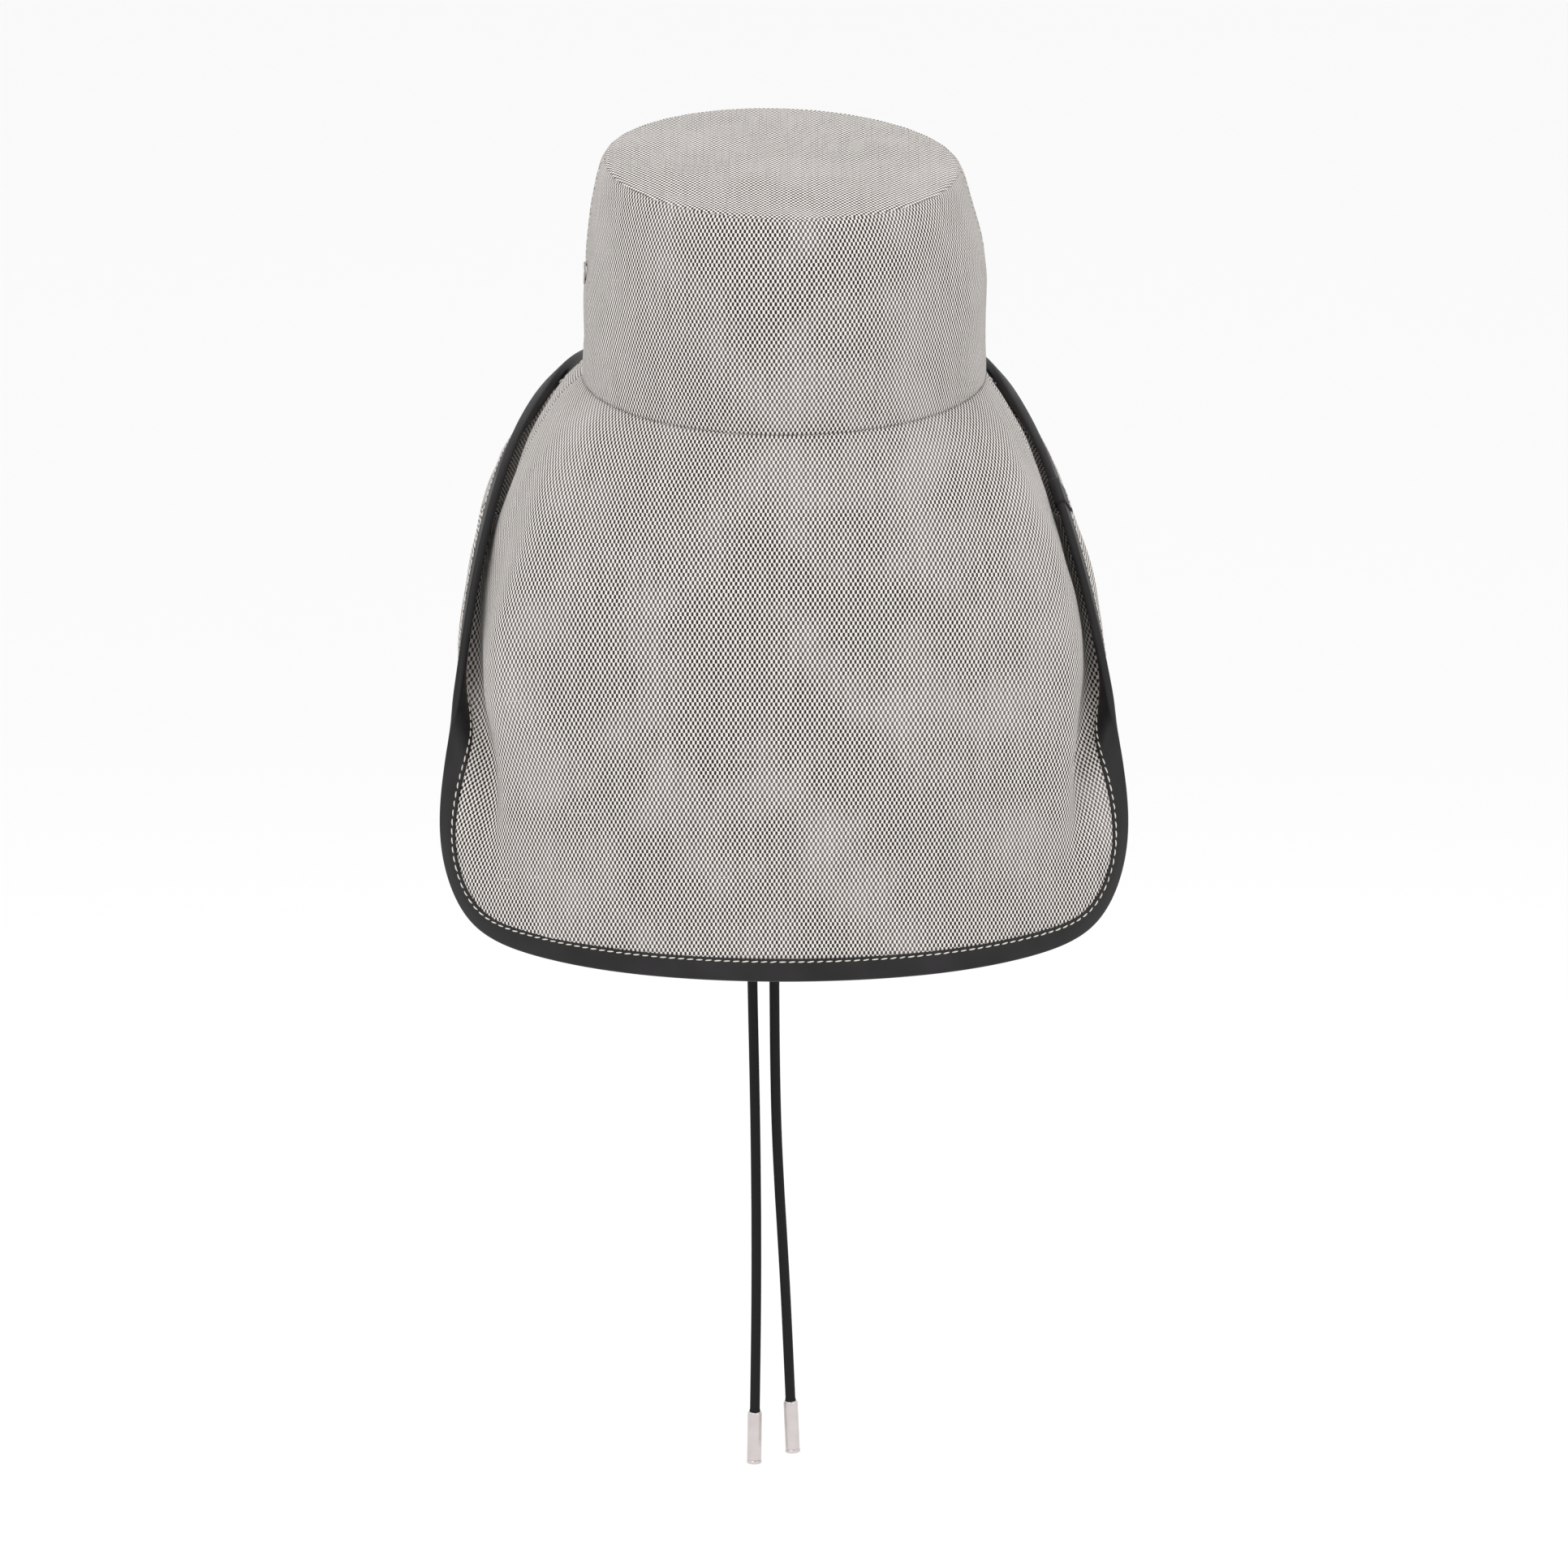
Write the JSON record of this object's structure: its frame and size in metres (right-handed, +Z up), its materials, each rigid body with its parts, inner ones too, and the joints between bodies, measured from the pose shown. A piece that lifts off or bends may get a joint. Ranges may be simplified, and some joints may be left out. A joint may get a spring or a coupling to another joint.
{
  "type": "neck flap sun hat",
  "caption": "Soft bucket hat with a long neck flap, leather-bound edge, side vent eyelets, and two chin cords with a sliding stop and metal aglets.",
  "frame": {"origin": "centre of the oval head opening, in the plane of the seam that joins the crown to the brim", "axes": "+Z up through the crown, +Y towards the face (the neck flap hangs at -Y), +X to the wearer's right"},
  "size_m": [0.3, 0.3123, 0.5937],
  "materials": {
    "canvas": "plain weave of cream warp and black weft, matte",
    "lining": "plain cotton twill, matte",
    "interlining": "matte non-woven",
    "sweatband": "grosgrain ribbon, fine cross ribs",
    "tape": "twill tape, matte",
    "label": "plain woven label, no text",
    "binding": "smooth black leather, soft sheen, cream topstitching",
    "loop": "black leather",
    "cord": "matte black round cord",
    "slider": "black leather, soft sheen",
    "silver": "brushed, faintly warm silver"
  },
  "bodies": {
    "hat": {"crown_tip": "canvas", "crown_band_back": "canvas", "crown_band_front": "canvas", "front_brim_outer": "canvas", "neck_flap_outer": "canvas", "crown_lining_tip": "lining", "crown_lining_band": "lining", "front_brim_lining": "lining", "neck_flap_lining": "lining", "front_brim_stiffener": "interlining", "neck_flap_stiffener": "interlining", "sweatband": "sweatband", "seam_tape": "tape", "size_label": "label", "edge_binding": "binding", "binding_join": "binding", "cord_anchor_left": "loop", "cord_anchor_right": "loop", "chin_cord_left": "cord", "chin_cord_right": "cord", "vent_eyelet_left": "silver", "vent_eyelet_right": "silver", "eyelet_washer_left": "silver", "eyelet_washer_right": "silver", "aglet_left": "silver", "aglet_right": "silver"},
    "slider": {"cord_slider": "slider"}
  },
  "joints": [
    {"name": "slider_slide", "type": "slide", "parent": "hat", "child": "slider", "axis": [0, 0, 1], "range_m": [-0.04, 0]}
  ]
}
